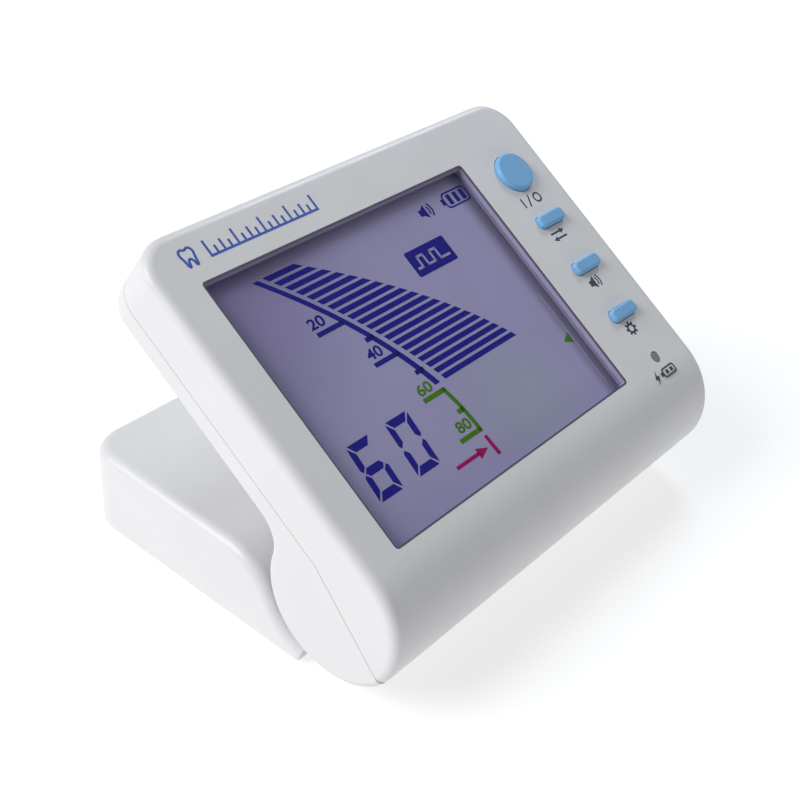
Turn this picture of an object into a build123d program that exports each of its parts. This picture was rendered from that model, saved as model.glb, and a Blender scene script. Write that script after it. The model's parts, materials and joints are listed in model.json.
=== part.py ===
from build123d import *
import os
from math import cos, radians, sin, sqrt

# Apex locator: a flat display head that tilts on a wedge-shaped base.
# Millimetres. +X is to the right as seen from the front, +Y to the back, +Z up.
# Origin: middle of the footprint, on the surface that the rubber feet stand on.
# The head is modelled in its own frame (x, v, n) with its origin on the hinge axis:
# v runs up the face and n out of it. The base is modelled about the same axis.

# ---- driving dimensions -------------------------------------------------------
WIDTH = 120.7            # head and base are equally wide
WALL = 2.2               # moulded wall of every shell
BARREL_R = 17.8          # rounded lower end of the head, concentric with the hinge
HEAD_TOP = 81.3          # hinge axis to the top edge of the head
REAR_FACE_N = 0.2        # rear face of the slab, just in front of the axis
NECK_R = 8.0             # hollow between the slab and the barrel
CORNER_R = 9.0           # top corners of the head, seen from the front
FRONT_EDGE_R = 2.2       # rounding of the front cover's rim
REAR_EDGE_R = 1.6        # rounding of the rear cover's rim
REST_TILT = 33.5         # angle of the face above the horizontal at rest
FOLD_TILT = 1.0          # angle of the face with the head folded on the base

PARTING_N = 5.8          # height of the seam between the two covers
KNEE_V = 9.0             # the seam turns down here, towards the barrel's front
SEAM_DROP = 6.8 / 26.8   # slope of the seam below the knee
SEAM_GAP = 0.15          # visible gap in the seam

WINDOW_W = 84.0          # display opening
WINDOW_H = 66.5
WINDOW_X = -8.65
WINDOW_V = 35.0
LCD_DEPTH = 2.7          # front of the display glass lies this far below the face
LCD_T = 2.2
LINING_T = 0.4           # dark lining of the display opening
KEY_X = 47.15            # column of keys
ROUND_KEY_R = 5.35
ROUND_KEY_X = 46.9
OBLONG_W = 9.4
OBLONG_H = 3.5
OBLONG_R = 1.3
KEY_RISE = 1.5           # keys stand proud of the face
KEY_GAP = 0.15           # gap round a key
KEY_VS = {"on_off": 60.5, "mode": 45.8, "sound": 31.3, "set": 16.6}
LED_X = 47.05
LED_V = 2.9
LED_R = 1.5

BACK_Y = 78.6            # rear wall of the base, from the hinge axis
BOTTOM_Z = -20.5         # underside of the base, from the hinge axis
FOOT_RISE = 1.0          # rubber feet stand proud of the underside
TROUGH_R = 19.5          # hollow in the base that the barrel turns in
HUMP_R = 16.0            # rounding between the base's top and the hollow
TOP_DROP = 0.7           # top of the base passes this far below the hinge axis
TIP_Y = 8.0              # front tip of the base, from the hinge axis
BASE_CORNER_R = 9.0
BASE_EDGE_R = 2.6
TIP_EDGE_R = 1.5         # rounding under the base's front tip

PIN_R = 2.0              # hinge pins
PIN_PLAY = 0.05          # running clearance of an arm on its pin
ARM_X = 38.05            # middle of each hinge arm, either side of the centre
ARM_T = 2.5
ARM_ANGLE = -40.0        # direction of the arms, down and back from the axis
ARM_W = 8.0
LEAD_R = 1.1             # battery lead
LEAD_JOIN_X = 7.0        # its two halves meet here, on the hinge axis
LEAD_END_Z = -16.0       # it enters the battery bay at this height
LEAD_BEND = 4.0

# ---- derived dimensions -------------------------------------------------------
HALF_W = WIDTH / 2
INNER_WALL = HALF_W - WALL
FACE_N = BARREL_R
INNER_N = FACE_N - WALL               # inside of the front wall
REAR_N = REAR_FACE_N + WALL           # inside of the rear wall
AXIS_Z = FOOT_RISE - BOTTOM_Z
AXIS_Y = -(BACK_Y - BARREL_R) / 2
PLATE_T = 2.0
FLOOR_Z = BOTTOM_Z + PLATE_T          # top of the base plate
BOARD_TOP = 9.6
BOARD_T = 1.6
BOARD_REAR = BOARD_TOP - BOARD_T
LCD_W = WINDOW_W + 4.0
LCD_H = WINDOW_H + 3.0
LCD_TOP = FACE_N - LCD_DEPTH
LINED_W = WINDOW_W - 2 * LINING_T - 0.1
LINED_H = WINDOW_H - 2 * LINING_T - 0.1
SWITCH_TOP = 13.1
SWITCH_SIZE = 6.0
PLUNGER_R = 1.7

BASE_FRAME = Pos(0, AXIS_Y, AXIS_Z)
HEAD_FRAME = BASE_FRAME * Rot(REST_TILT, 0, 0)


# ---- small helpers ------------------------------------------------------------
def rod(radius, low, high, x=0.0, y=0.0):
    """Upright cylinder between two heights."""
    return Pos(x, y, (low + high) / 2) * Cylinder(radius, high - low)


def rod_x(radius, low, high, y=0.0, z=0.0):
    """Cylinder along X between two places."""
    return Pos((low + high) / 2, y, z) * Rot(0, 90, 0) * Cylinder(radius, high - low)


def rod_y(radius, low, high, x=0.0, z=0.0):
    """Cylinder along Y between two places."""
    return Pos(x, (low + high) / 2, z) * Rot(90, 0, 0) * Cylinder(radius, high - low)


def block(x, y, z):
    """Box from its (low, high) spans."""
    centre = Pos(sum(x) / 2, sum(y) / 2, sum(z) / 2)
    return centre * Box(x[1] - x[0], y[1] - y[0], z[1] - z[0])


def slab_x(points, low, high):
    """Straight-sided outline in the Y-Z plane, extruded along X."""
    face = make_face(Plane.YZ * Polyline(*points, close=True))
    return Pos(low, 0, 0) * extrude(face, amount=high - low, dir=(1, 0, 0))


def pocket(width, height, radius, low, high, x, v):
    """Rounded rectangle between two heights."""
    shape = extrude(RectangleRounded(width, height, radius), amount=high - low)
    return Pos(x, v, low) * shape


def screw(head_r, head_h, shank_r, length):
    """Cross-recessed pan-head screw along +Z, underside of its head at the origin."""
    head = rod(head_r, -head_h, 0)
    head = fillet(head.edges().group_by(Axis.Z)[0], head_h * 0.45)
    cross = Box(head_r * 1.1, 0.45, head_h) + Box(0.45, head_r * 1.1, head_h)
    return head - Pos(0, 0, -head_h) * cross + rod(shank_r, 0, length)


def mirrored(piece):
    return mirror(piece, about=Plane.YZ)


# ---- outlines and blanks ------------------------------------------------------
def head_outline(inset):
    """Side view of the head: flat slab, hollow neck and round barrel."""
    radius = BARREL_R - inset
    neck_r = NECK_R + inset
    rear = inset + REAR_FACE_N
    top = HEAD_TOP - inset
    centre_n = rear - neck_r
    reach = radius + neck_r
    centre_v = sqrt(reach ** 2 - centre_n ** 2)
    on_barrel = (radius * centre_v / reach, radius * centre_n / reach)
    lean_v = -centre_v / reach
    lean_n = 1 - centre_n / reach
    size = sqrt(lean_v ** 2 + lean_n ** 2)
    neck_mid = (centre_v + neck_r * lean_v / size, centre_n + neck_r * lean_n / size)
    lines = [
        Line((top, radius), (0, radius)),
        ThreePointArc((0, radius), (-radius, 0), on_barrel),
        ThreePointArc(on_barrel, neck_mid, (centre_v, rear)),
        Line((centre_v, rear), (top, rear)),
        Line((top, rear), (top, radius)),
    ]
    return make_face([Plane.YZ * line for line in lines])


def head_blank(inset, edge_r=0.0):
    """Whole head as one solid, shrunk by inset, with its rim rounded."""
    solid = extrude(head_outline(inset), amount=HALF_W - inset, both=True)
    corners = solid.edges().filter_by(Axis.Z).group_by(Axis.Y)[-1]
    solid = fillet(corners, CORNER_R - inset)
    if edge_r:
        solid = fillet(rim_edges(solid, HEAD_TOP - inset), edge_r)
    return solid


def rim_edges(solid, far_y):
    """Edges round the outline: all but the upright and the smooth seams along X."""
    rim = []
    for edge in solid.edges():
        size = edge.bounding_box().size
        upright = size.X < 0.01 and size.Y < 0.01
        along_x = size.Y < 0.01 and size.Z < 0.01
        if upright or (along_x and edge.center().Y < far_y - 0.01):
            continue
        rim.append(edge)
    return rim


def seam_points(lift):
    far = -30.0
    return [(100, PARTING_N + lift), (KNEE_V, PARTING_N + lift),
            (far, PARTING_N + lift - (KNEE_V - far) * SEAM_DROP)]


def in_front_of_seam(lift):
    return slab_x(seam_points(lift) + [(-30, 40), (100, 40)], -HALF_W - 5, HALF_W + 5)


def behind_seam(lift):
    return slab_x(seam_points(lift) + [(-30, -40), (100, -40)], -HALF_W - 5, HALF_W + 5)


def base_outline(inset, floor):
    """Side view of the base: sloping top, rounded hump and hollow for the barrel."""
    slope = radians(FOLD_TILT)
    hump_r = HUMP_R - inset
    hollow_r = TROUGH_R + inset
    reach = TROUGH_R + HUMP_R
    drop = TOP_DROP + HUMP_R
    along = sqrt(reach ** 2 - drop ** 2)

    def place(s, m):
        return (s * cos(slope) - m * sin(slope), s * sin(slope) + m * cos(slope))

    centre = place(along, -drop)
    on_top = place(along, hump_r - drop)
    on_hollow = (centre[0] * hollow_r / reach, centre[1] * hollow_r / reach)
    lean = (on_top[0] - centre[0] + on_hollow[0] - centre[0],
            on_top[1] - centre[1] + on_hollow[1] - centre[1])
    size = sqrt(lean[0] ** 2 + lean[1] ** 2)
    hump_mid = (centre[0] + hump_r * lean[0] / size, centre[1] + hump_r * lean[1] / size)
    back = BACK_Y - inset
    top_s = (back - (TOP_DROP + inset) * sin(slope)) / cos(slope)
    back_top = place(top_s, -TOP_DROP - inset)
    low_z = -TROUGH_R * sin(radians(80)) if inset == 0 else FLOOR_Z
    end = (sqrt(hollow_r ** 2 - low_z ** 2), low_z)
    mid_angle = radians(-45)
    hollow_mid = (hollow_r * cos(mid_angle), hollow_r * sin(mid_angle))
    lines = [
        Line(back_top, on_top),
        ThreePointArc(on_top, hump_mid, on_hollow),
        ThreePointArc(on_hollow, hollow_mid, end),
        Line(end, (end[0], floor)),
        Line((end[0], floor), (back, floor)),
        Line((back, floor), back_top),
    ]
    return make_face([Plane.YZ * line for line in lines])


def base_blank(inset):
    solid = extrude(base_outline(inset, BOTTOM_Z - 8), amount=HALF_W - inset, both=True)
    corners = solid.edges().filter_by(Axis.Z).group_by(Axis.Y)[-1]
    return fillet(corners, BASE_CORNER_R - inset)


# ---- head: covers -------------------------------------------------------------
COVER_SCREWS = [(-54.0, 75.5, 6.0), (54.0, 75.5, 6.0), (-20.0, -9.0, -3.0), (20.0, -9.0, -3.0)]
SEAT_DEPTH = 3.4         # seats of the upper cover screws below the bosses' meeting face
LOW_SEAT_DEPTH = 8.3     # and of the lower ones, deep in the barrel
BOARD_SCREWS = [(-56.5, 64.0), (-56.5, 8.0), (40.3, 66.5), (40.3, 9.0)]
BUZZER = (-30.0, 55.0)
SOCKET_N = -5.5
MEASURING_V = 4.5
CHARGE_V = -5.5


def key_outline(name, grow):
    if name == "on_off":
        return Pos(ROUND_KEY_X, KEY_VS[name]) * Circle(ROUND_KEY_R + grow)
    outline = RectangleRounded(OBLONG_W + 2 * grow, OBLONG_H + 2 * grow, OBLONG_R + grow)
    return Pos(KEY_X, KEY_VS[name]) * outline


def key_centre(name):
    return (ROUND_KEY_X if name == "on_off" else KEY_X, KEY_VS[name])


def front_cover():
    cover = head_blank(0, FRONT_EDGE_R) & in_front_of_seam(0)
    cover -= head_blank(WALL)
    cover -= head_blank(WALL / 2) & behind_seam(1.2)
    room = head_blank(WALL / 2)
    for x, v, split in COVER_SCREWS:
        cover += rod(3.2, split, FACE_N, x, v) & room
        cover -= rod(1.3, split - 1, split + 8, x, v)
    for x, v in BOARD_SCREWS:
        cover += rod(1.75, BOARD_TOP, INNER_N + 0.4, x, v)
        cover -= rod(0.95, BOARD_TOP - 1, BOARD_TOP + 4.6, x, v)
    cover -= pocket(WINDOW_W, WINDOW_H, 1.0, INNER_N - 2, FACE_N + 2, WINDOW_X, WINDOW_V)
    for name in KEY_VS:
        cover -= Pos(0, 0, INNER_N - 1) * extrude(key_outline(name, KEY_GAP), amount=WALL + 2)
    cover -= rod(LED_R + 0.05, INNER_N - 1, FACE_N + 1, LED_X, LED_V)
    return cover


def wall_slot(x_low, x_high, start, end):
    """Cut through the barrel wall over an arc, seen from the side."""
    steps = 12
    points = []
    for i in range(steps + 1):
        angle = radians(start + (end - start) * i / steps)
        points.append((24 * cos(angle), 24 * sin(angle)))
    for i in range(steps + 1):
        angle = radians(end + (start - end) * i / steps)
        points.append((12 * cos(angle), 12 * sin(angle)))
    return slab_x(points, x_low, x_high)


def rear_cover():
    cover = head_blank(0, REAR_EDGE_R) & behind_seam(-SEAM_GAP)
    cover -= head_blank(WALL)
    lip = head_blank(WALL / 2 + 0.15) & behind_seam(1.0)
    cover += lip - head_blank(WALL) - behind_seam(-SEAM_GAP - 0.5)
    room = head_blank(WALL / 2)
    for x, v, split in COVER_SCREWS:
        cover += rod(3.2, -BARREL_R, split - 0.1, x, v) & room
    for side in (-1, 1):
        cover += block(sorted((side * 24, side * 34)), (24.2, 36), (REAR_N - 0.5, REAR_N + 2))
        for v in (27.0, 33.0):
            cover -= rod(0.95, REAR_N - 1.0, REAR_N + 3, side * 29, v)
    for x, v, split in COVER_SCREWS:
        head_seat = split - (SEAT_DEPTH if v > 0 else LOW_SEAT_DEPTH)
        cover -= rod(1.4, head_seat - 1, split + 1, x, v)
        cover -= rod(2.5, -BARREL_R - 1, head_seat, x, v)
    for side in (-1, 1):
        low, high = sorted((side * (ARM_X - 1.75), side * (ARM_X + 1.75)))
        cover -= wall_slot(low, high, -23, -118)
    cover -= wall_slot(-2.0, 2.0, -34, -110)
    cover -= rod_x(3.05, INNER_WALL - 0.5, HALF_W + 1, MEASURING_V, SOCKET_N)
    cover -= rod_x(3.65, INNER_WALL - 0.5, HALF_W + 1, CHARGE_V, SOCKET_N)
    for dx, dv in [(0, 0)] + [(3 * cos(radians(60 * i)), 3 * sin(radians(60 * i))) for i in range(6)]:
        cover -= rod(0.75, REAR_FACE_N - 1, REAR_N + 1, BUZZER[0] + dx, BUZZER[1] + dv)
    return cover


# ---- head: display and electronics --------------------------------------------
def display_window():
    """Clear lens set into the lined opening, just above the display."""
    return pocket(LINED_W - 0.1, LINED_H - 0.1, 0.5, LCD_TOP + 0.1, LCD_TOP + 1.1, WINDOW_X, WINDOW_V)


def lcd_glass():
    return pocket(LCD_W, LCD_H, 0.5, LCD_TOP - LCD_T, LCD_TOP, WINDOW_X, WINDOW_V)


def lcd_backlight():
    return pocket(LCD_W, LCD_H, 0.5, BOARD_TOP, LCD_TOP - LCD_T, WINDOW_X, WINDOW_V)


def lcd_frame():
    """Dark frame: walls round the display, a flange over its edge and the opening's lining."""
    flange_top = INNER_N - 0.1
    frame = pocket(LCD_W + 4.0, LCD_H + 2.1, 1.5, BOARD_TOP, flange_top, WINDOW_X, WINDOW_V)
    frame -= pocket(LCD_W + 0.3, LCD_H + 0.3, 0.4, BOARD_TOP - 1, LCD_TOP + 0.05, WINDOW_X, WINDOW_V)
    frame += pocket(WINDOW_W - 0.1, WINDOW_H - 0.1, 0.95, flange_top, FACE_N - 0.1, WINDOW_X, WINDOW_V)
    return frame - pocket(LINED_W, LINED_H, 0.55, LCD_TOP, FACE_N, WINDOW_X, WINDOW_V)


def main_board():
    board = block((-57.9, 53.0), (-1.0, 71.3), (BOARD_REAR, BOARD_TOP))
    for x, v in BOARD_SCREWS:
        board -= rod(1.05, BOARD_REAR - 1, BOARD_TOP + 1, x, v)
    return board


def board_chips():
    """Processor, memory, regulator and lead connector on the rear of the board."""
    chips = block((-6, 6), (34, 46), (BOARD_REAR - 1.6, BOARD_REAR))
    chips += block((14, 19), (48, 54), (BOARD_REAR - 1.4, BOARD_REAR))
    chips += block((-22, -16), (24, 32), (BOARD_REAR - 1.8, BOARD_REAR))
    chips += block((9, 15), (-1.0, 5.0), (BOARD_REAR - 2.0, BOARD_REAR))
    for i in range(4):
        chips += block((-4 + 6 * i, -1 + 6 * i), (60, 62), (BOARD_REAR - 1.0, BOARD_REAR))
    return chips


def key_switches():
    housings = []
    for name in KEY_VS:
        x, v = key_centre(name)
        half = SWITCH_SIZE / 2
        housing = block((x - half, x + half), (v - half, v + half), (BOARD_TOP, SWITCH_TOP))
        housings.append(housing - rod(PLUNGER_R + 0.08, SWITCH_TOP - 2.2, SWITCH_TOP + 1, x, v))
    return Part() + housings


def key_plunger(name):
    x, v = key_centre(name)
    return rod(PLUNGER_R, SWITCH_TOP - 1.2, SWITCH_TOP + 0.8, x, v)


def key_cap(name):
    """Cap with a rounded rim, a flange that holds it in and a stem on the plunger."""
    x, v = key_centre(name)
    top = FACE_N + KEY_RISE
    cap = Pos(0, 0, INNER_N - 0.2) * extrude(key_outline(name, 0), amount=top - INNER_N + 0.2)
    cap = fillet(cap.edges().group_by(Axis.Z)[-1], 0.7)
    flange = extrude(key_outline(name, 1.2), amount=1.2)
    cap += Pos(0, 0, INNER_N - 1.4) * flange
    return cap + rod(2.1, SWITCH_TOP + 0.8, INNER_N - 1.0, x, v)


def charge_led():
    lens = rod(LED_R, BOARD_TOP + 2.6, FACE_N - 0.1, LED_X, LED_V)
    lens = fillet(lens.edges().group_by(Axis.Z)[-1], 0.4)
    lens += rod(LED_R + 0.4, BOARD_TOP + 2.6, BOARD_TOP + 3.6, LED_X, LED_V)
    for dx in (-0.8, 0.8):
        lens += rod(0.25, BOARD_TOP, BOARD_TOP + 2.8, LED_X + dx, LED_V)
    return lens


def buzzer():
    can = rod(6.0, BOARD_REAR - 5.0, BOARD_REAR, *BUZZER)
    return can - rod(1.0, BOARD_REAR - 6, BOARD_REAR - 3.5, *BUZZER)


def measuring_socket():
    """Jack for the measuring lead: its bore is open at the right end of the barrel."""
    outer = HALF_W - 0.1
    jack = rod_x(4.0, outer - 14.6, INNER_WALL, MEASURING_V, SOCKET_N)
    jack += rod_x(3.0, INNER_WALL - 0.5, outer, MEASURING_V, SOCKET_N)
    return jack - rod_x(1.8, outer - 14.0, outer + 1, MEASURING_V, SOCKET_N)


def charge_socket():
    """Low-voltage socket with a centre pin, open at the right end of the barrel."""
    outer = HALF_W - 0.1
    jack = rod_x(4.0, outer - 12.0, INNER_WALL, CHARGE_V, SOCKET_N)
    jack += rod_x(3.6, INNER_WALL - 0.5, outer, CHARGE_V, SOCKET_N)
    jack -= rod_x(2.8, outer - 9.0, outer + 1, CHARGE_V, SOCKET_N)
    return jack + rod_x(1.0, outer - 10.0, outer - 0.8, CHARGE_V, SOCKET_N)


def socket_board():
    low = SOCKET_N - 4.0 - 1.2
    return block((45.8, INNER_WALL - 0.3), (-9.6, 8.6), (low, low + 1.2))


def cover_screws():
    screws = []
    for x, v, split in COVER_SCREWS:
        head_seat = split - (SEAT_DEPTH if v > 0 else LOW_SEAT_DEPTH)
        screws.append(Pos(x, v, head_seat) * screw(2.3, 1.6, 1.25, split + 7.5 - head_seat))
    return Part() + screws


def board_screws():
    return Part() + [Pos(x, v, BOARD_REAR) * screw(1.55, 1.1, 0.9, 5.6) for x, v in BOARD_SCREWS]


# ---- hinge --------------------------------------------------------------------
BRACKET_IN = 34.0
BRACKET_OUT = 36.0
WASHER_GAP = 0.05


def hinge_bracket():
    """Right-hand bracket: a cheek that carries the pin, and a foot on the rear cover."""
    hub = rod_x(5.5, BRACKET_IN, BRACKET_OUT)
    web = [(0.0, 5.5), (24.2, 6.4), (36.0, 6.4), (36.0, REAR_N + 2), (24.2, REAR_N + 2), (2.0, -5.12)]
    cheek = slab_x(web, BRACKET_IN, BRACKET_OUT) + hub
    foot = block((24.0, BRACKET_OUT), (24.2, 36.0), (REAR_N + 2, REAR_N + 4))
    for v in (27.0, 33.0):
        foot -= rod(1.05, REAR_N + 1, REAR_N + 5, 29.0, v)
    return cheek + foot - rod_x(PIN_R, BRACKET_IN - 1, BRACKET_OUT + 1)


def bracket_screws():
    screws = []
    for side in (-1, 1):
        for v in (27.0, 33.0):
            place = Pos(side * 29.0, v, REAR_N + 4) * Rot(180, 0, 0)
            screws.append(place * screw(1.8, 1.2, 0.9, 4.6))
    return Part() + screws


def hinge_pin():
    return rod_x(3.4, BRACKET_IN - 1.5, BRACKET_IN) + rod_x(PIN_R, BRACKET_IN - 0.5, ARM_X + 6.6)


def friction_washers():
    half = ARM_T / 2 + WASHER_GAP
    rings = [rod_x(4.2, BRACKET_OUT, ARM_X - half), rod_x(4.2, ARM_X + half, ARM_X + half + 0.8)]
    right = Part() + [ring - rod_x(PIN_R, BRACKET_OUT - 1, ARM_X + 5) for ring in rings]
    return Part() + [right, mirrored(right)]


def hinge_nuts():
    start = ARM_X + ARM_T / 2 + WASHER_GAP + 0.8
    nut = Pos(start, 0, 0) * Rot(0, 90, 0) * extrude(RegularPolygon(4.0, 6), amount=3.2)
    nut -= rod_x(PIN_R, start - 1, start + 5)
    return Part() + [nut, mirrored(nut)]


ARM_FOOT_Y = (15.0, 33.0)
ARM_SCREW_YS = (19.0, 29.0)
ARM_SCREW_X = 45.5


def hinge_arm():
    """Right-hand arm: turns on the pin and is screwed to the base plate."""
    low = ARM_X - ARM_T / 2
    high = ARM_X + ARM_T / 2
    turn = radians(ARM_ANGLE)
    half = ARM_W / 2
    across = (-half * sin(turn), half * cos(turn))
    reach = 23.0
    end = (reach * cos(turn), reach * sin(turn))
    strip = [across, (end[0] + across[0], end[1] + across[1]),
             (end[0] - across[0], end[1] - across[1]), (-across[0], -across[1])]
    arm = slab_x(strip, low, high) + rod_x(5.2, low, high)
    gusset = [(ARM_FOOT_Y[0], FLOOR_Z), (end[0] - across[0], end[1] - across[1]),
              (end[0] + across[0], end[1] + across[1]), (31.0, FLOOR_Z + 3.0),
              (ARM_FOOT_Y[1], FLOOR_Z)]
    arm += slab_x(gusset, low, high)
    arm += block((low, 51.0), ARM_FOOT_Y, (FLOOR_Z, FLOOR_Z + 2.4))
    arm -= rod_x(PIN_R + PIN_PLAY, low - 1, high + 1)
    for y in ARM_SCREW_YS:
        arm -= rod(1.25, FLOOR_Z - 1, FLOOR_Z + 3, ARM_SCREW_X, y)
    return arm


def arm_screws():
    screws = []
    for side in (-1, 1):
        for y in ARM_SCREW_YS:
            screws.append(Pos(side * ARM_SCREW_X, y, BOTTOM_Z + 1.2) * screw(2.2, 1.2, 1.2, 3.2))
    return Part() + screws


# ---- base ---------------------------------------------------------------------
BASE_SCREWS = [(-54.2, 21.0), (54.2, 21.0), (-53.6, 71.0), (53.6, 71.0)]
FEET = [(-29.0, 19.0), (29.0, 19.0), (-45.0, 64.0), (45.0, 64.0)]
FOOT_R = 4.5
FOOT_SINK = 0.8
DOOR_X = (-26.0, 26.0)
DOOR_Y = (31.0, 68.0)
DOOR_SCREW = (0.0, 66.0)
CELL_R = 5.25
CELL_L = 44.5
CELL_PITCH = 10.2        # the shrink sleeve squeezes the cells together


def base_shell():
    shell = base_blank(0)
    shell = fillet(top_rim(shell), BASE_EDGE_R)
    shell -= block((-80, 80), (-20, TIP_Y), (-40, 10))
    shell -= block((-80, 80), (-20, 90), (-40, BOTTOM_Z))
    tip_edges = shell.edges().group_by(Axis.Y)[0].filter_by(Axis.X).sort_by(Axis.Z)
    shell = fillet(tip_edges[0], TIP_EDGE_R)
    tip_edges = shell.edges().group_by(Axis.Y)[0].filter_by(Axis.X).sort_by(Axis.Z)
    shell = fillet(tip_edges[-1], 0.7)
    shell -= base_blank(WALL)
    room = base_blank(WALL / 2) & block((-80, 80), (0, 90), (FLOOR_Z, 20))
    for x, y in BASE_SCREWS:
        shell += rod(3.0, FLOOR_Z, 10, x, y) & room
        shell -= rod(1.2, FLOOR_Z - 1, FLOOR_Z + 7, x, y)
    for side in (-1, 1):
        shell -= arm_passage(side)
    turn = radians(ARM_ANGLE)
    passage = Pos(0, 21 * cos(turn), 21 * sin(turn)) * Rot(ARM_ANGLE + 90, 0, 0)
    return shell - passage * Cylinder(LEAD_R + 0.6, 9)


def top_rim(solid):
    """Rim of the base's top: the sloping sides, hump and hollow, and the back edge."""
    keep = []
    for edge in rim_edges(solid, BACK_Y):
        box = edge.bounding_box()
        if box.max.Z > BOTTOM_Z + 0.5 and edge.center().Y > 4.0:
            keep.append(edge)
    return keep


def arm_passage(side):
    """Slot in the hollow that lets a hinge arm out of the base."""
    low, high = sorted((side * (ARM_X - 1.85), side * (ARM_X + 1.85)))
    turn = radians(ARM_ANGLE)
    half = ARM_W / 2 + 0.8
    points = []
    for reach, sign in ((17, -1), (26, -1), (26, 1), (17, 1)):
        points.append((reach * cos(turn) - sign * half * sin(turn),
                       reach * sin(turn) + sign * half * cos(turn)))
    return slab_x(points, low, high)


def base_plate():
    gap = 0.15
    front = sqrt((TROUGH_R + WALL) ** 2 - FLOOR_Z ** 2) + gap
    side = HALF_W - WALL - gap
    back = BACK_Y - WALL - gap
    plate = block((-side, side), (front, back), (BOTTOM_Z, FLOOR_Z))
    corners = plate.edges().filter_by(Axis.Z).group_by(Axis.Y)[-1]
    plate = fillet(corners, BASE_CORNER_R - WALL)
    plate += block((DOOR_X[0] - 1.5, DOOR_X[1] + 1.5), (DOOR_Y[0] - 1.5, DOOR_Y[1] + 1.5),
                   (FLOOR_Z - 0.5, FLOOR_Z + 10))
    plate -= block(DOOR_X, DOOR_Y, (BOTTOM_Z - 1, FLOOR_Z + 11))
    plate += block((-3.5, 3.5), (DOOR_Y[1] - 4.4, DOOR_Y[1] + 0.5), (BOTTOM_Z + 1.9, FLOOR_Z + 5))
    plate -= rod(1.0, BOTTOM_Z + 1, FLOOR_Z + 4, *DOOR_SCREW)
    plate -= rod_y(LEAD_R + 0.5, DOOR_Y[0] - 3, DOOR_Y[0] + 1, 0, LEAD_END_Z)
    for x, y in BASE_SCREWS:
        plate -= rod(1.4, BOTTOM_Z - 1, FLOOR_Z + 1, x, y)
        plate -= rod(2.4, BOTTOM_Z - 1, BOTTOM_Z + 1.2, x, y)
    for side_x in (-ARM_SCREW_X, ARM_SCREW_X):
        for y in ARM_SCREW_YS:
            plate -= rod(1.35, BOTTOM_Z - 1, FLOOR_Z + 1, side_x, y)
            plate -= rod(2.4, BOTTOM_Z - 1, BOTTOM_Z + 1.2, side_x, y)
    for x, y in FEET:
        plate -= rod(FOOT_R + 0.1, BOTTOM_Z - 1, BOTTOM_Z + FOOT_SINK, x, y)
    return plate


def rubber_feet():
    feet = []
    for x, y in FEET:
        foot = rod(FOOT_R, BOTTOM_Z - FOOT_RISE, BOTTOM_Z + FOOT_SINK, x, y)
        feet.append(fillet(foot.edges().group_by(Axis.Z)[0], 0.4))
    return Part() + feet


def base_screws():
    return Part() + [Pos(x, y, BOTTOM_Z + 1.2) * screw(2.2, 1.2, 1.15, 6.5) for x, y in BASE_SCREWS]


def battery_door():
    gap = 0.25
    door = block((DOOR_X[0] + gap, DOOR_X[1] - gap), (DOOR_Y[0] + gap, DOOR_Y[1] - gap),
                 (BOTTOM_Z, BOTTOM_Z + 1.8))
    door -= rod(1.1, BOTTOM_Z - 1, BOTTOM_Z + 3, *DOOR_SCREW)
    door -= rod(2.0, BOTTOM_Z - 1, BOTTOM_Z + 1.0, *DOOR_SCREW)
    for i in range(3):
        y = DOOR_Y[0] + 3.0 + 1.6 * i
        door -= block((-6, 6), (y, y + 0.8), (BOTTOM_Z - 1, BOTTOM_Z + 0.5))
    return door


def battery_door_screw():
    return Pos(*DOOR_SCREW, BOTTOM_Z + 1.0) * screw(1.8, 1.0, 0.95, 5.0)


def battery_pack():
    """Three small cells side by side in a shrink sleeve."""
    low = BOTTOM_Z + 2.2
    ys = [DOOR_Y[0] + 1.0 + CELL_R + CELL_PITCH * i for i in range(3)]
    cells = [rod_x(CELL_R, -CELL_L / 2, CELL_L / 2, y, low + CELL_R) for y in ys]
    sleeve = block((-CELL_L / 2 + 0.6, CELL_L / 2 - 0.6), (ys[0], ys[2]),
                   (low + 1.2, low + 2 * CELL_R - 1.2))
    return Part() + cells + sleeve


def ballast_weights():
    right = block((30.0, 50.0), (36.0, 70.0), (FLOOR_Z, FLOOR_Z + 6.0))
    return Part() + [right, mirrored(right)]


def tube(points, bend):
    path = FilletPolyline(*points, radius=bend)
    return sweep(Plane(origin=path @ 0, z_dir=path % 0) * Circle(LEAD_R), path=path)


def battery_lead():
    """From the hinge axis, where the lead twists, down into the battery bay."""
    turn = radians(ARM_ANGLE)
    bend_y = LEAD_END_Z * cos(turn) / sin(turn)
    points = [(LEAD_JOIN_X, 0, 0), (0, 0, 0), (0, bend_y, LEAD_END_Z),
              (0, DOOR_Y[0] + 0.5, LEAD_END_Z)]
    return tube(points, LEAD_BEND)


def head_lead():
    """From the hinge axis to the connector on the main board."""
    return tube([(LEAD_JOIN_X, 0, 0), (12.0, 0, 0), (12.0, 0, BOARD_REAR - 2.0)], 2.2)


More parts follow.
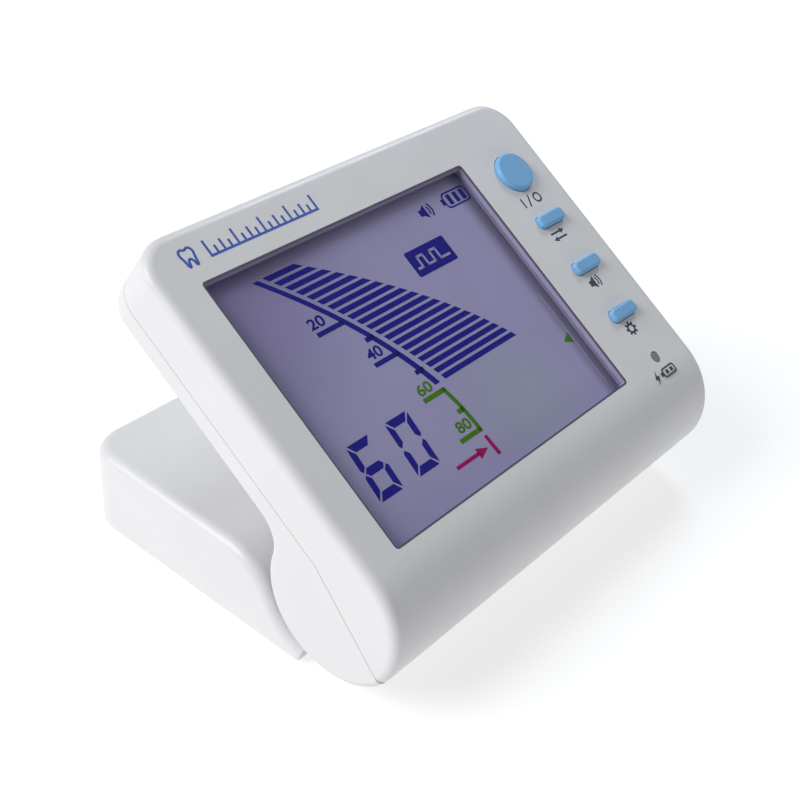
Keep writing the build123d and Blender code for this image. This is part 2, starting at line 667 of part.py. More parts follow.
# ---- write one file per node ----------------------------------------------------
def head_nodes():
    nodes = {
        "front_cover": front_cover(),
        "rear_cover": rear_cover(),
        "display_window": display_window(),
        "lcd_glass": lcd_glass(),
        "lcd_backlight": lcd_backlight(),
        "lcd_frame": lcd_frame(),
        "main_board": main_board(),
        "board_chips": board_chips(),
        "key_switches": key_switches(),
        "charge_led": charge_led(),
        "buzzer": buzzer(),
        "measuring_socket": measuring_socket(),
        "charge_socket": charge_socket(),
        "socket_board": socket_board(),
        "cover_screws": cover_screws(),
        "board_screws": board_screws(),
        "bracket_screws": bracket_screws(),
        "friction_washers": friction_washers(),
        "hinge_nuts": hinge_nuts(),
        "head_lead": head_lead(),
    }
    for name, maker in (("hinge_bracket", hinge_bracket), ("hinge_pin", hinge_pin)):
        piece = maker()
        nodes[name + "_right"] = piece
        nodes[name + "_left"] = mirrored(piece)
    for name in KEY_VS:
        nodes[name + "_key"] = key_cap(name)
        nodes[name + "_plunger"] = key_plunger(name)
    return nodes


def base_nodes():
    arm = hinge_arm()
    return {
        "base_shell": base_shell(),
        "base_plate": base_plate(),
        "rubber_feet": rubber_feet(),
        "base_screws": base_screws(),
        "battery_door": battery_door(),
        "battery_door_screw": battery_door_screw(),
        "battery_pack": battery_pack(),
        "ballast_weights": ballast_weights(),
        "battery_lead": battery_lead(),
        "hinge_arm_right": arm,
        "hinge_arm_left": mirrored(arm),
        "arm_screws": arm_screws(),
    }


os.makedirs("parts", exist_ok=True)
for frame, nodes in ((HEAD_FRAME, head_nodes()), (BASE_FRAME, base_nodes())):
    for node, shape in nodes.items():
        export_step(frame * shape, f"parts/{node}.step")
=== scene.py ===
import json
from math import cos, hypot, pi, radians, sin

import bmesh
import bpy
from mathutils import Matrix, Vector


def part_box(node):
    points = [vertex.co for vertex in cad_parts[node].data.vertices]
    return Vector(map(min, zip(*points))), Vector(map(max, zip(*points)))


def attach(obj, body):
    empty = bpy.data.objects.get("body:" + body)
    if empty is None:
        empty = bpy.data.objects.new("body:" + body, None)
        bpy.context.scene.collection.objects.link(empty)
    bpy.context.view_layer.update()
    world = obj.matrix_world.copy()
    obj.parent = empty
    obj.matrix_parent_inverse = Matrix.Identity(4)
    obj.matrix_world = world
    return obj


# Looks of an apex locator: a tilting display head on a wedge-shaped base.
# Sizes below are millimetres, and MM turns them into the scene's metres. The materials'
# textures, the floor and the lights are in metres.
MM = 0.001

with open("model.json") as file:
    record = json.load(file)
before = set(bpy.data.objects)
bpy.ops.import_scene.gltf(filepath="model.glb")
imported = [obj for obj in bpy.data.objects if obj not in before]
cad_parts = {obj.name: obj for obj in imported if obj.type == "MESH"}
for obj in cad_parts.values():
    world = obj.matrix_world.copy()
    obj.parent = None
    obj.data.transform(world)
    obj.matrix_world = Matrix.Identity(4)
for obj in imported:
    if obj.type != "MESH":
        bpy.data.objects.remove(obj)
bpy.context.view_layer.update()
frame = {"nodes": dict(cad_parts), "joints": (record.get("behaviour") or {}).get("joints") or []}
nodes = frame["nodes"]

# ---- places taken from the frame ----------------------------------------------
REST_TILT = radians(33.5)
HINGE = Vector(next(j for j in frame["joints"] if j["name"] == "head_tilt")["pos_m"])
HEAD = Matrix.Translation(HINGE) @ Matrix.Rotation(REST_TILT, 4, "X")
TO_HEAD = HEAD.inverted()


def head_place(node):
    """Middle of a CAD node in the head's frame, in millimetres: x, v up the face, n out."""
    low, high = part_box(node)
    return (TO_HEAD @ ((low + high) / 2)) / MM


WINDOW = head_place("display_window")
WINDOW_W = 84.0              # display opening
WINDOW_H = 66.5
FACE_N = 17.8                # front face, from the hinge axis
DISPLAY_N = 15.1             # front of the display glass
ART_N = DISPLAY_N + 0.02     # its printed layer lies just above it
LABEL_N = FACE_N + 0.005     # and the face's printing just above the face
DECAL_T = 0.02               # thickness of a printed layer


# ---- materials -----------------------------------------------------------------
NOISE_LOW = 0.3              # most of a noise's values lie between these two
NOISE_HIGH = 0.7
FINE_DEPTH = 0.00001         # depth of the finest textures, in metres
INK_ROUGHNESS = 0.45
DISPLAY_LIFT = 2.0           # the display sits in a shaded well, so its colours are lifted
DISPLAY_SHEEN = 0.04         # specular level of the display and its inks
RIM_SHADOW_FROM = 2.35              # the lining's rim has a painted shadow, dark from this height above the display
WALL_TOP = 2.1               # and its walls carry a painted reflection of the display up to this one


def new_material(name, **sockets):
    """Material with one Principled shader; each keyword is one of its sockets."""
    material = bpy.data.materials.new(name)
    material.use_nodes = True
    shader = material.node_tree.nodes["Principled BSDF"]
    for socket, value in sockets.items():
        shader.inputs[socket.replace("_", " ")].default_value = value
    return material, shader


def add_node(material, kind, **settings):
    """Shader node; each keyword is one of its sockets, or else one of its properties."""
    node = material.node_tree.nodes.new(kind)
    for key, value in settings.items():
        if key in node.inputs:
            node.inputs[key].default_value = value
        else:
            setattr(node, key, value)
    return node


def link(material, source, target):
    """Joins one node's output to another's input."""
    material.node_tree.links.new(source, target)


def coordinates(material):
    """Place on the object itself, so that a texture moves with its body."""
    return add_node(material, "ShaderNodeTexCoord").outputs["Object"]


def noise(material, scale, detail=3.0, stretch=None):
    """Noise over the object's own coordinates. Scale is in features per metre."""
    texture = add_node(material, "ShaderNodeTexNoise", Scale=scale, Detail=detail)
    place = coordinates(material)
    if stretch:
        mapping = add_node(material, "ShaderNodeMapping")
        mapping.inputs["Scale"].default_value = stretch
        link(material, place, mapping.inputs["Vector"])
        place = mapping.outputs["Vector"]
    link(material, place, texture.inputs["Vector"])
    return texture.outputs["Fac"]


def mottled(material, value, low, high):
    """Noise value turned into a colour between two."""
    node = add_node(material, "ShaderNodeValToRGB")
    node.color_ramp.elements[0].position = NOISE_LOW
    node.color_ramp.elements[0].color = low
    node.color_ramp.elements[1].position = NOISE_HIGH
    node.color_ramp.elements[1].color = high
    link(material, value, node.inputs["Fac"])
    return node.outputs["Color"]


def spread(material, value, low, high):
    """Noise value turned into a range of numbers."""
    node = add_node(material, "ShaderNodeMapRange")
    node.inputs["From Min"].default_value = NOISE_LOW
    node.inputs["From Max"].default_value = NOISE_HIGH
    node.inputs["To Min"].default_value = low
    node.inputs["To Max"].default_value = high
    link(material, value, node.inputs["Value"])
    return node.outputs["Result"]


def bump(material, shader, heights, strength):
    """Stacks bumps on the shader: heights are (value, depth in metres)."""
    previous = None
    for value, depth in heights:
        node = add_node(material, "ShaderNodeBump", Strength=strength, Distance=depth)
        link(material, value, node.inputs["Height"])
        if previous:
            link(material, previous, node.inputs["Normal"])
        previous = node.outputs["Normal"]
    link(material, previous, shader.inputs["Normal"])


def srgb(red, green, blue):
    """Linear colour from 0-255 screen values."""
    def linear(value):
        value /= 255
        return value / 12.92 if value <= 0.04045 else ((value + 0.055) / 1.055) ** 2.4
    return (linear(red), linear(green), linear(blue), 1.0)


def shade(colour, factor):
    """Colour made darker or lighter."""
    return tuple(channel * factor for channel in colour[:3]) + (1.0,)


def plastic(name, colour, roughness, texture=900.0, depth=0.00002):
    """Moulded plastic: faint colour mottling, uneven gloss and a fine spark-eroded texture."""
    material, shader = new_material(name)
    clouds = noise(material, 55.0, detail=4.0)
    link(material, mottled(material, clouds, shade(colour, 0.965), colour),
         shader.inputs["Base Color"])
    link(material, spread(material, noise(material, 140.0), roughness * 0.85, roughness * 1.15),
         shader.inputs["Roughness"])
    waves = noise(material, 45.0, detail=2.0)
    grain = noise(material, texture, detail=2.0)
    bump(material, shader, [(waves, depth * 4), (grain, depth)], strength=0.6)
    return material


def metal(name, colour, roughness, stretch=(1.0, 1.0, 1.0)):
    """Plated or drawn metal; a stretch above 1 packs its fine marks closer along that axis."""
    material, shader = new_material(name, Metallic=1.0)
    fine = noise(material, 700.0, stretch=stretch)
    link(material, mottled(material, fine, shade(colour, 0.8), colour),
         shader.inputs["Base Color"])
    link(material, spread(material, fine, roughness * 0.75, roughness * 1.3),
         shader.inputs["Roughness"])
    bump(material, shader, [(fine, FINE_DEPTH)], strength=0.5)
    return material


def ink(name, colour, specular=0.5):
    """Printed or lit layer with a slightly uneven density."""
    material, shader = new_material(name, Specular_IOR_Level=specular)
    link(material, mottled(material, noise(material, 900.0), shade(colour, 0.88), colour),
         shader.inputs["Base Color"])
    link(material, spread(material, noise(material, 500.0), INK_ROUGHNESS * 0.9,
                          INK_ROUGHNESS * 1.1), shader.inputs["Roughness"])
    return material


def lit(red, green, blue):
    """Display colour as it should look in its well."""
    return shade(srgb(red, green, blue), DISPLAY_LIFT)


def edge_fade(material, distance, start, end, dark):
    """Factor that goes from dark at start to 1 at end, both in millimetres."""
    node = add_node(material, "ShaderNodeMapRange", interpolation_type="SMOOTHSTEP")
    node.inputs["From Min"].default_value = start * MM
    node.inputs["From Max"].default_value = end * MM
    node.inputs["To Min"].default_value = dark
    node.inputs["To Max"].default_value = 1.0
    link(material, distance, node.inputs["Value"])
    return node.outputs["Result"]


def calculate(material, operation, first, second):
    """Math node on two values, each a number or a socket."""
    node = add_node(material, "ShaderNodeMath", operation=operation)
    for socket, value in zip(node.inputs, (first, second)):
        if isinstance(value, float):
            socket.default_value = value
        else:
            link(material, value, socket)
    return node.outputs["Value"]


def distance_from(material, place, x, y):
    """Distance on the display from a point given in millimetres from its middle."""
    node = add_node(material, "ShaderNodeVectorMath", operation="DISTANCE")
    link(material, place, node.inputs[0])
    node.inputs[1].default_value = (x * MM, y * MM, 0)
    return node.outputs["Value"]


def tinted(material, colour, factor, other):
    """Colour blended towards another as the factor falls from 1 to 0."""
    node = add_node(material, "ShaderNodeMix", data_type="RGBA")
    link(material, factor, node.inputs["Factor"])
    node.inputs["A"].default_value = other
    if isinstance(colour, tuple):
        node.inputs["B"].default_value = colour
    else:
        link(material, colour, node.inputs["B"])
    return node.outputs["Result"]


def window_place(material):
    """Place measured from the middle of the display's front: x, up the face and out of it."""
    mapping = add_node(material, "ShaderNodeMapping", vector_type="TEXTURE")
    mapping.inputs["Location"].default_value = HEAD @ (Vector((WINDOW.x, WINDOW.y, ART_N)) * MM)
    mapping.inputs["Rotation"].default_value = (REST_TILT, 0, 0)
    link(material, coordinates(material), mapping.inputs["Vector"])
    parts = add_node(material, "ShaderNodeSeparateXYZ")
    link(material, mapping.outputs["Vector"], parts.inputs["Vector"])
    return mapping.outputs["Vector"], parts


def lining():
    """Display frame: lavender grey walls (painted reflection of the display) and a dark rim at the
    face (painted shadow).
    """
    material, shader = new_material("lining_painted_light", Roughness=0.55, Specular_IOR_Level=0.3)
    above_display = window_place(material)[1].outputs["Z"]
    # Painted shadow: the rim at the face, above the walls, gets a dark colour.
    below_rim_shadow = edge_fade(material, above_display, start=RIM_SHADOW_FROM, end=WALL_TOP, dark=0.0)
    # Painted reflection: the walls get the display's lavender grey.
    walls = mottled(material, noise(material, 200.0), srgb(150, 144, 176), srgb(158, 152, 184))
    link(material, tinted(material, walls, below_rim_shadow, srgb(88, 86, 102)),
         shader.inputs["Base Color"])
    bump(material, shader, [(noise(material, 900.0), FINE_DEPTH)], strength=0.5)
    return material


LAVENDER = lit(139, 135, 167)
DARK_LAVENDER = lit(119, 112, 147)
GREY_LAVENDER = lit(136, 142, 158)


def display_glass():
    """Lavender display: darker at its upper left, greyer low down, painted wall shadow at top and
    right.
    """
    material, shader = new_material("display_lavender", Roughness=0.35,
                                    Specular_IOR_Level=DISPLAY_SHEEN)
    place, parts = window_place(material)
    upper_left = edge_fade(material, distance_from(material, place, x=-46.0, y=36.0),
                           start=8.0, end=55.0, dark=0.0)
    low_middle = edge_fade(material, distance_from(material, place, x=14.0, y=-22.0),
                           start=2.0, end=22.0, dark=0.2)
    colour = tinted(material, LAVENDER, upper_left, DARK_LAVENDER)
    colour = tinted(material, colour, low_middle, GREY_LAVENDER)
    # Painted shadow of the well's walls: darker within 3 mm of the top edge and 6.5 mm of the
    # right edge.
    below_top = calculate(material, "SUBTRACT", WINDOW_H / 2 * MM, parts.outputs["Y"])
    left_of_right = calculate(material, "SUBTRACT", WINDOW_W / 2 * MM, parts.outputs["X"])
    shadow = calculate(material, "MULTIPLY",
                       edge_fade(material, below_top, start=0.0, end=3.0, dark=0.6),
                       edge_fade(material, left_of_right, start=0.0, end=6.5, dark=0.4))
    # The painted shadow, with a faint random mottle.
    painted_shadow_mottle = calculate(material, "MULTIPLY", shadow,
                      spread(material, noise(material, 30.0, detail=2.0), 0.96, 1.02))
    scaled = add_node(material, "ShaderNodeVectorMath", operation="SCALE")
    link(material, colour, scaled.inputs[0])
    link(material, painted_shadow_mottle, scaled.inputs["Scale"])
    link(material, scaled.outputs["Vector"], shader.inputs["Base Color"])
    return material


def clear_lens():
    """Clear acrylic: faint and glossy, so that the display shows through."""
    material, shader = new_material("clear_acrylic", Alpha=0.12, IOR=1.49)
    link(material, mottled(material, noise(material, 60.0), (0.02, 0.02, 0.03, 1),
                           (0.03, 0.03, 0.04, 1)), shader.inputs["Base Color"])
    link(material, spread(material, noise(material, 200.0), 0.04, 0.09),
         shader.inputs["Roughness"])
    return material


WHITE = plastic("white_abs_plastic", (0.69, 0.69, 0.70, 1), 0.38)
BLUE = plastic("blue_key_plastic", srgb(116, 172, 218), 0.42, texture=1200.0)
BLACK = plastic("black_plastic", (0.03, 0.03, 0.032, 1), 0.5)
LINING = lining()
DIFFUSER = plastic("diffuser_plastic", (0.75, 0.75, 0.73, 1), 0.5)
RUBBER = plastic("foot_rubber", (0.045, 0.045, 0.048, 1), 0.8, texture=500.0, depth=0.00004)
SLEEVE = plastic("battery_sleeve", srgb(60, 120, 70), 0.35)
LEAD = plastic("lead_insulation", (0.03, 0.03, 0.03, 1), 0.5)
BOARD = plastic("circuit_board_resin", srgb(28, 92, 52), 0.35)
LED = plastic("led_lens", srgb(128, 130, 130), 0.3)
STEEL = metal("screw_steel", (0.62, 0.61, 0.60, 1), 0.3)
HINGE_STEEL = metal("hinge_steel", (0.55, 0.55, 0.56, 1), 0.38, (1.0, 6.0, 1.0))
BALLAST = metal("ballast_steel", (0.42, 0.42, 0.43, 1), 0.5, (8.0, 1.0, 1.0))
NAVY_INK = ink("display_navy", lit(26, 24, 118), specular=DISPLAY_SHEEN)
GREEN_INK = ink("display_green", lit(60, 108, 14), specular=DISPLAY_SHEEN)
MAGENTA_INK = ink("display_magenta", lit(140, 10, 84), specular=DISPLAY_SHEEN)
PALE_INK = ink("display_pale", LAVENDER, specular=DISPLAY_SHEEN)
# Painted glint: a thin light line standing in for a highlight along the edge of the display's
# film.
GLINT_INK = ink("display_painted_glint", lit(170, 165, 195), specular=DISPLAY_SHEEN)
LABEL_INK = ink("label_grey", srgb(64, 68, 78))
FACE_BLUE_INK = ink("face_mark_blue", srgb(52, 84, 178))

FINISHES = {
    "white_abs": WHITE, "clear_acrylic": clear_lens(), "lcd_panel": display_glass(),
    "white_diffuser": DIFFUSER, "black_plastic": BLACK, "circuit_board": BOARD,
    "led_lens": LED, "socket_plastic": BLACK, "screw_steel": STEEL, "hinge_steel": HINGE_STEEL,
    "lead_insulation": LEAD, "foot_rubber": RUBBER, "battery_sleeve": SLEEVE,
    "ballast_steel": BALLAST, "blue_key": BLUE,
}


def finish_cad_nodes():
    """Gives each CAD node the finish of its slot, which its packed material is named after."""
    for name, piece in nodes.items():
        for index, packed in enumerate(piece.data.materials):
            piece.data.materials[index] = LINING if name == "lcd_frame" else FINISHES[packed.name]


finish_cad_nodes()


# ---- flat shapes: lists of (x, y) points, in millimetres -------------------------
NUMBER_H = 2.7               # the scale's numbers
NUMBER_WEIGHT = 0.02         # thickens their strokes, in the font's own unit


def bar(left, right, bottom, top):
    """Rectangle with level and upright sides."""
    return [(left, bottom), (right, bottom), (right, top), (left, top)]


def arc(x, y, radius, start, end, steps=16):
    """Points along an arc; angles are in degrees."""
    points = []
    for i in range(steps + 1):
        angle = radians(start + (end - start) * i / steps)
        points.append((x + radius * cos(angle), y + radius * sin(angle)))
    return points


def rounded_bar(left, right, bottom, top, radius):
    """Rectangle with round corners."""
    steps = 6
    return (arc(right - radius, top - radius, radius, 0, 90, steps)
            + arc(left + radius, top - radius, radius, 90, 180, steps)
            + arc(left + radius, bottom + radius, radius, 180, 270, steps)
            + arc(right - radius, bottom + radius, radius, 270, 360, steps))


def stroke(points, width):
    """Outline of an open line of even width."""
    left, right = [], []
    for i, (x, y) in enumerate(points):
        ax, ay = points[max(i - 1, 0)]
        bx, by = points[min(i + 1, len(points) - 1)]
        size = hypot(bx - ax, by - ay)
        nx, ny = -(by - ay) / size * width / 2, (bx - ax) / size * width / 2
        left.append((x + nx, y + ny))
        right.append((x - nx, y - ny))
    return left + right[::-1]


def moved(outline, dx, dy):
    """Outline shifted by dx and dy."""
    return [(x + dx, y + dy) for x, y in outline]


def through(points, y):
    """x at height y on the smooth curve (a parabola) through three points."""
    (x0, y0), (x1, y1), (x2, y2) = points
    return (x0 * (y - y1) * (y - y2) / ((y0 - y1) * (y0 - y2))
            + x1 * (y - y0) * (y - y2) / ((y1 - y0) * (y1 - y2))
            + x2 * (y - y0) * (y - y1) / ((y2 - y0) * (y2 - y1)))


def add_object(name, data):
    """New object in the scene."""
    piece = bpy.data.objects.new(name, data)
    bpy.context.scene.collection.objects.link(piece)
    return piece


def decal(name, outlines, material, level):
    """Thin closed plates on the head, placed from the middle of the display opening.

    Level is their height from the hinge axis, out of the face.
    """
    mesh = bpy.data.meshes.new(name)
    shape = bmesh.new()
    for outline in outlines:
        area = sum(a[0] * b[1] - b[0] * a[1] for a, b in zip(outline, outline[1:] + outline[:1]))
        edge = outline if area > 0 else outline[::-1]
        layers = []
        for n in (level, level + DECAL_T):
            layers.append([shape.verts.new(((WINDOW.x + x) * MM, (WINDOW.y + y) * MM, n * MM))
                           for x, y in edge])
        low, high = layers
        shape.faces.new(high)
        shape.faces.new(low[::-1])
        for i in range(len(edge)):
            j = (i + 1) % len(edge)
            shape.faces.new((low[i], low[j], high[j], high[i]))
    shape.transform(HEAD)
    shape.to_mesh(mesh)
    shape.free()
    piece = add_object(name, mesh)
    mesh.materials.append(material)
    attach(piece, "head")


def window_decal(name, outlines, material, level=ART_N):
    """Printed layer of the display."""
    decal(name, outlines, material, level)


def number_outlines(text, left, bottom, width):
    """Digits from the built-in font, fitted into a box."""
    curve = bpy.data.curves.new("digits", "FONT")
    curve.body = text
    curve.offset = NUMBER_WEIGHT
    holder = add_object("digits", curve)
    bpy.context.view_layer.update()
    graph = bpy.context.evaluated_depsgraph_get()
    flat = bpy.data.meshes.new_from_object(holder.evaluated_get(graph))
    bpy.data.objects.remove(holder)
    bpy.data.curves.remove(curve)
    xs = [v.co.x for v in flat.vertices]
    ys = [v.co.y for v in flat.vertices]
    outlines = []
    for face in flat.polygons:
        corners = []
        for index in face.vertices:
            co = flat.vertices[index].co
            corners.append((left + (co.x - min(xs)) / (max(xs) - min(xs)) * width,
                            bottom + (co.y - min(ys)) / (max(ys) - min(ys)) * NUMBER_H))
        outlines.append(corners)
    bpy.data.meshes.remove(flat)
    return outlines


# ---- display artwork; x and y are from the middle of the display opening ----------
BAR_PITCH = 1.96
BAR_H = 1.28
BAR_TOP = 29.49
BAR_COUNT = 20
BARS_LEFT = ((-26.46, BAR_TOP), (-12.6, 11.85), (-2.3, -7.75))      # top corners of bars 1, 10, 20
BARS_RIGHT = ((-17.2, BAR_TOP), (5.9, 11.85), (23.4, -7.75))
SCALE_LINE = ((-28.6, 29.4), (-13.1, 9.4), (-4.5, -9.0))
SCALE_W = 1.6
MARK_H = 1.12                # the level marks beside the line
GREEN_LINE = ((-4.2, -10.9), (-3.25, -15.3), (-2.62, -23.0))
GREEN_W = 1.1


def bars():
    """Level bars that follow the curve of the scale and get longer downwards."""
    outlines = []
    for i in range(BAR_COUNT):
        top = BAR_TOP - BAR_PITCH * i
        bottom = top - BAR_H
        outlines.append([
            (through(BARS_LEFT, bottom), bottom), (through(BARS_RIGHT, bottom), bottom),
            (through(BARS_RIGHT, top), top), (through(BARS_LEFT, top), top)])
    return outlines


def curved_band(points, width, top, bottom, steps=24):
    """Band of even horizontal width along a smooth curve, cut level at both ends."""
    heights = [top + (bottom - top) * i / steps for i in range(steps + 1)]
    left = [(through(points, y) - width / 2, y) for y in heights]
    right = [(through(points, y) + width / 2, y) for y in heights]
    return left + right[::-1]


def marks(places, height):
    """Level marks, each given by its left end, right end and bottom."""
    return [bar(left, right, bottom, bottom + height) for left, right, bottom in places]


def navy_scale():
    """Upper part of the scale: a curved line with marks."""
    places = ((-23.6, -15.7, 12.4), (-13.8, -11.2, 6.5), (-15.9, -8.2, 0.7), (-7.9, -5.2, -5.1))
    return [curved_band(SCALE_LINE, SCALE_W, top=29.4, bottom=-9.0)] + marks(places, MARK_H)


def green_scale():
    """Lower part of the scale, and a small pointer at the display's right."""
    places = ((-10.9, -3.8, -11.4), (-4.9, -2.9, -17.25), (-9.4, -2.3, -23.0))
    pointer = [(35.8, -16.5), (38.6, -17.9), (38.6, -15.0)]
    return ([curved_band(GREEN_LINE, GREEN_W, top=-10.3, bottom=-23.0, steps=10)]
            + marks(places, GREEN_W) + [pointer])


DIGIT_W = 7.05
DIGIT_H = 13.35
SEGMENT_LEVEL = 1.9          # thickness of the level segments
SEGMENT_UPRIGHT = 1.55       # width of the upright ones
SEGMENT_GAP = 0.4
CENTRE_INSET = 0.1           # makes the middle segment shorter at each end
SLANT = 0.9 / DIGIT_H
READING_TOP = -10.3


def digit(segments, left, top):
    """Seven-segment digit with mitred corners, leaning slightly."""
    w, h, level, upright, gap = DIGIT_W, DIGIT_H, SEGMENT_LEVEL, SEGMENT_UPRIGHT, SEGMENT_GAP
    middle = h / 2
    inset = CENTRE_INSET
    flat = [(gap, 0), (w - gap, 0), (w - upright - gap / 2, -level), (upright + gap / 2, -level)]
    side = [(0, -gap), (upright, -level - gap), (upright, level / 2 + gap - middle),
            (upright / 3, gap * 0.75 - middle), (0, level / 2 - middle)]
    centre = [(upright / 2 + inset, -middle), (upright + inset, level / 2 - middle),
              (w - upright - inset, level / 2 - middle), (w - upright / 2 - inset, -middle),
              (w - upright - inset, -level / 2 - middle),
              (upright + inset, -level / 2 - middle)]
    shapes = {"a": flat, "g": centre, "f": side,
              "b": [(w - x, y) for x, y in side], "e": [(x, -h - y) for x, y in side],
              "c": [(w - x, -h - y) for x, y in side], "d": [(x, -h - y) for x, y in flat]}
    outlines = []
    for key in segments:
        outlines.append([(left + x + y * SLANT, top + y) for x, y in shapes[key]])
    return outlines


def reading():
    """The number 60."""
    return digit("acdefg", -35.35, READING_TOP) + digit("abcdef", -23.48, READING_TOP)


def speaker(x, y, size):
    """Speaker with two waves; x, y is the middle of its body."""
    outlines = [[(-1.0, -0.45), (-0.45, -0.45), (0.25, -1.0),
                 (0.25, 1.0), (-0.45, 0.45), (-1.0, 0.45)]]
    for radius, width in ((0.85, 0.22), (1.35, 0.24)):
        outlines.append(stroke(arc(-0.05, 0, radius, -42, 42), width))
    return [[(x + px * size, y + py * size) for px, py in outline] for outline in outlines]


def battery(left, bottom, right, top, cells):
    """Battery outline with its nub on the left and full cells inside."""
    line = 0.4
    middle = (bottom + top) / 2
    radius = (top - bottom) * 0.28
    nub = 0.2 * (top - bottom)
    outer = rounded_bar(left, right, bottom, top, radius)
    inner = rounded_bar(left + line, right - line, bottom + line, top - line, radius - line / 2)
    outlines = []
    for i in range(len(outer)):
        j = (i + 1) % len(outer)
        outlines.append([outer[i], outer[j], inner[j], inner[i]])
    outlines.append(bar(left - 0.85, left + 0.1, middle - nub, middle + nub))
    room = right - left - 2 * line
    pitch = room / (cells + 0.35)
    for i in range(cells):
        start = left + line + 0.45 * pitch + pitch * i
        outlines.append(bar(start, start + pitch * 0.55, bottom + 2 * line, top - 2 * line))
    return outlines


def pulse_line():
    """Square pulse between the badge's ends: a level or upright plate for each stretch."""
    low, high = 15.6, 18.4
    half = 0.3               # half of the line's width
    points = [(12.2, low), (13.6, low), (13.6, high), (15.6, high), (15.6, low), (18.0, low),
              (18.0, high), (20.0, high), (20.0, low), (23.0, low)]
    outlines = []
    for (x0, y0), (x1, y1) in zip(points, points[1:]):
        outlines.append(bar(min(x0, x1) - half, max(x0, x1) + half,
                            min(y0, y1) - half, max(y0, y1) + half))
    return outlines


def end_mark():
    """Arrow to the right with a stop bar at its point."""
    shaft = bar(-14.7, -7.0, -27.1, -26.25)
    point = [(-7.4, -28.0), (-4.0, -26.68), (-7.4, -25.35)]
    stop = [(-2.8, -29.3), (-1.7, -29.3), (-2.1, -24.2), (-3.1, -24.2)]
    return [shaft, point, stop]


window_decal("display_bars", bars(), NAVY_INK)
window_decal("display_scale", navy_scale(), NAVY_INK)
window_decal("display_scale_green", green_scale(), GREEN_INK)
window_decal("display_reading", reading(), NAVY_INK)
window_decal("display_numbers", number_outlines("20", -24.1, 14.3, 4.5)
             + number_outlines("40", -16.1, 2.5, 4.4), NAVY_INK)
window_decal("display_numbers_green", number_outlines("60", -10.8, -9.75, 4.4)
             + number_outlines("80", -8.1, -21.1, 4.35), GREEN_INK)
window_decal("display_status", speaker(24.9, 27.2, 1.9)
             + battery(32.2, 25.1, 41.0, 29.5, cells=3), NAVY_INK)
window_decal("display_badge", [rounded_bar(10.8, 24.5, 13.6, 20.4, 0.5)], NAVY_INK)
window_decal("display_badge_pulse", pulse_line(), PALE_INK, ART_N + DECAL_T)
window_decal("display_end_mark", end_mark(), MAGENTA_INK)
# Painted glint: a thin light line on the display, standing in for a highlight on its film's edge.
window_decal("display_painted_glint", [bar(38.95, 39.08, -30.0, -3.5)], GLINT_INK)


# ---- plain symbols on the face; x and y are from the middle of the display opening ----
SYMBOL_LINE = 0.6            # line width of the gear, the tooth and the rule
RING_STEPS = 40


def face_decal(name, outlines, material):
    """Printing on the front cover."""
    decal(name, outlines, material, LABEL_N)


def ring(x, y, radius, line):
    """Ring as a row of small plates."""
    inner = arc(x, y, radius - line / 2, 0, 360, RING_STEPS)
    outer = arc(x, y, radius + line / 2, 0, 360, RING_STEPS)
    return [[inner[i], outer[i], outer[i + 1], inner[i + 1]] for i in range(RING_STEPS)]


def on_off_symbol(x, y):
    """The usual marks for on and off: a bar, a stroke and a ring."""
    return ([bar(x - 3.5, x - 3.0, y - 1.4, y + 1.4),
             stroke([(x - 1.5, y - 1.6), (x - 0.1, y + 1.6)], 0.45)]
            + ring(x + 2.4, y, 1.2, 0.5))


def swap_symbol(x, y):
    """Two arrows, one each way."""
    outlines = []
    for sign in (-1, 1):
        level = y + 0.85 * sign
        tail, neck, tip = x - 2.5 * sign, x + 1.1 * sign, x + 2.7 * sign
        outlines.append(stroke([(tail, level), (neck, level)], 0.5))
        outlines.append([(neck, level - 0.75), (tip, level), (neck, level + 0.75)])
    return outlines


def gear_symbol(x, y):
    """Gear with eight teeth."""
    teeth = 8
    outlines = ring(x, y, 1.1, SYMBOL_LINE)
    for i in range(teeth):
        angle = 2 * pi / teeth * i
        near = (x + 1.3 * cos(angle), y + 1.3 * sin(angle))
        far = (x + 1.95 * cos(angle), y + 1.95 * sin(angle))
        outlines.append(stroke([near, far], SYMBOL_LINE))
    return outlines


def charge_symbol(x, y):
    """Battery with a bolt beside it."""
    bolt = [(0.65, 1.9), (-1.0, -0.25), (-0.1, -0.25), (-0.65, -1.9), (1.0, 0.35), (0.1, 0.35)]
    return battery(x - 0.6, y - 1.3, x + 4.6, y + 1.3, cells=2) + [moved(bolt, x - 3.2, y)]


def tooth_symbol(x, y):
    """Plain tooth with two roots, in outline."""
    half = [(0.0, 1.55), (0.75, 2.05), (1.55, 1.75), (1.8, 0.75), (1.45, -0.5), (1.2, -2.2),
            (0.85, -2.35), (0.55, -0.95), (0.0, -0.45)]
    outer = moved(half + [(-px, py) for px, py in half[-2:0:-1]], x, y)
    loop = outer + outer[:1]
    return [stroke(loop[i:i + 2], SYMBOL_LINE) for i in range(len(outer))]


def rule_symbol(left, right, y):
    """Plain graduated rule: a base line with long and short marks."""
    foot = y - 1.5
    pitches = 16
    outlines = [bar(left, right, foot - SYMBOL_LINE, foot)]
    for i in range(pitches + 1):
        x = left + (right - left - SYMBOL_LINE) * i / pitches
        height = 3.6 if i % 4 == 0 else (2.6 if i % 2 == 0 else 1.7)
        outlines.append(bar(x, x + SYMBOL_LINE, foot, foot + height))
    return outlines


face_decal("label_on_off", on_off_symbol(54.9, 17.3), LABEL_INK)
face_decal("label_mode", swap_symbol(55.1, 6.2), LABEL_INK)
face_decal("label_sound", speaker(54.6, -8.5, 1.75), LABEL_INK)
face_decal("label_set", gear_symbol(55.0, -23.0), LABEL_INK)
face_decal("label_charge", charge_symbol(54.6, -36.6), LABEL_INK)
face_decal("face_mark", tooth_symbol(-40.6, 39.4) + rule_symbol(-35.8, -4.0, 39.4),
           FACE_BLUE_INK)


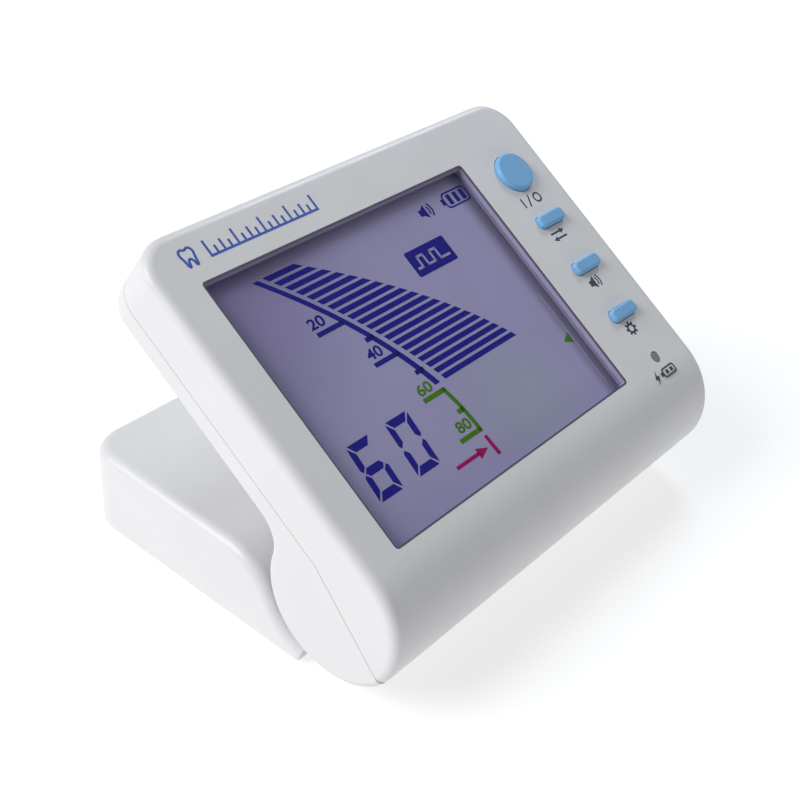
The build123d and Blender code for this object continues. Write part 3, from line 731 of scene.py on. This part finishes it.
# ---- stage, light and camera; the floor and the lights are in metres ---------------
FLOOR_HALF = 3.0
FLOOR_GREY = (0.4, 0.4, 0.4, 1)
FLOOR_GLOW = 0.65            # keeps the floor pale in the dim room
SKY = (0.97, 0.98, 1.0, 1)
SKY_STRENGTH = 0.3
CAMERA_AT = HINGE + Vector((-202.33, -125.3, 185.88)) * MM
CAMERA_AIM = HINGE + Vector((-6.12, 28.93, 11.12)) * MM
CAMERA_ROLL = radians(4.51)
LENS = 58.5
SENSOR_W = 36.0
NEAREST = 0.01               # metres from the camera to the nearest thing it shows


def floor():
    """Pale floor at the height of the feet."""
    half = FLOOR_HALF
    mesh = bpy.data.meshes.new("floor")
    mesh.from_pydata([(-half, -half, 0), (half, -half, 0), (half, half, 0), (-half, half, 0)],
                     [], [(0, 1, 2, 3)])
    piece = add_object("floor", mesh)
    material, shader = new_material("floor_white", Roughness=0.9)
    shader.inputs["Base Color"].default_value = FLOOR_GREY
    shader.inputs["Emission Color"].default_value = (1, 1, 1, 1)
    shader.inputs["Emission Strength"].default_value = FLOOR_GLOW
    mesh.materials.append(material)


def turn_towards(place, aim):
    """Turn that points a light or a camera at the aim."""
    return (Vector(aim) - Vector(place)).to_track_quat("-Z", "Y")


def area_light(name, place, aim, size, power, colour=(1.0, 1.0, 1.0)):
    """Round soft light."""
    data = bpy.data.lights.new(name, "AREA")
    data.color = colour
    data.shape = "DISK"
    data.size = size
    data.energy = power
    light = add_object(name, data)
    light.location = place
    light.rotation_euler = turn_towards(place, aim).to_euler()


def studio():
    """Dim even room, a large key light at the left rear and a small cool one at the right."""
    world = bpy.data.worlds.new("studio")
    bpy.context.scene.world = world
    world.use_nodes = True
    background = world.node_tree.nodes["Background"]
    background.inputs["Color"].default_value = SKY
    background.inputs["Strength"].default_value = SKY_STRENGTH
    area_light("key", place=(-1.72, 0.84, 1.5), aim=(0, 0, 0.04), size=1.5, power=50.0)
    area_light("side_fill", place=(0.4, 0.16, 0.5), aim=(0.05, 0, 0.06), size=0.25, power=1.3,
               colour=(0.8, 0.9, 1.0))


def camera():
    """Camera at the front left, looking down on the face."""
    data = bpy.data.cameras.new("camera")
    data.lens = LENS
    data.sensor_width = SENSOR_W
    data.clip_start = NEAREST
    piece = add_object("camera", data)
    piece.location = CAMERA_AT
    turn = turn_towards(CAMERA_AT, CAMERA_AIM).to_matrix().to_4x4()
    turn = turn @ Matrix.Rotation(CAMERA_ROLL, 4, "Z")
    piece.rotation_euler = turn.to_euler()
    bpy.context.scene.camera = piece


floor()
studio()
camera()
bpy.context.scene.view_settings.view_transform = "Standard"
